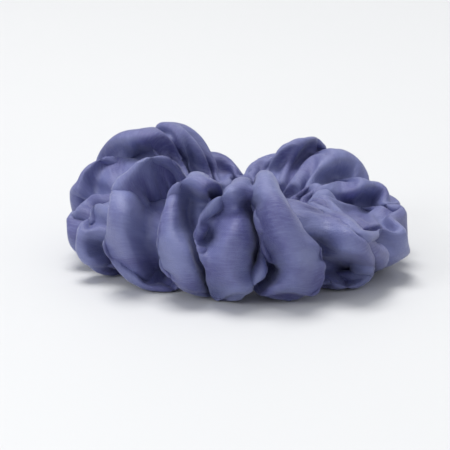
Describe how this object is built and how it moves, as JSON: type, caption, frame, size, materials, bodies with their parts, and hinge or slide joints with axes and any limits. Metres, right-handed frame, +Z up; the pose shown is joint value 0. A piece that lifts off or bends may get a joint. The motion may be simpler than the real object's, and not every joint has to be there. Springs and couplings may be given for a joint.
{
  "type": "scrunchie",
  "caption": "Satin scrunchie: a gathered cloth tube on a loop of flat elastic, for holding a ponytail or a bun.",
  "frame": {"origin": "middle of the hole, on the surface that the scrunchie lies on", "axes": "+Z up through the hole, +X from the middle of the hole away from the elastic's join"},
  "size_m": [0.1185, 0.1154, 0.046],
  "materials": {
    "satin": "dusty blue-violet satin with a soft sheen",
    "elastic": "off-white woven elastic",
    "thread": "spun polyester thread, dyed to match the satin",
    "elastic_thread": "white spun polyester thread"
  },
  "bodies": {
    "loop": {"fabric_cover": "satin", "elastic_band": "elastic", "long_seam_thread": "thread"},
    "joined_end": {"elastic_join_stitching": "elastic_thread", "closing_seam_thread": "thread"}
  },
  "joints": [
    {"name": "stretch", "type": "slide", "parent": "loop", "child": "joined_end", "axis": [-1, 0, 0], "range_m": [0, 0.09], "stiffness_N_per_m": 80, "deforming": ["fabric_cover", "elastic_band", "long_seam_thread"]}
  ]
}
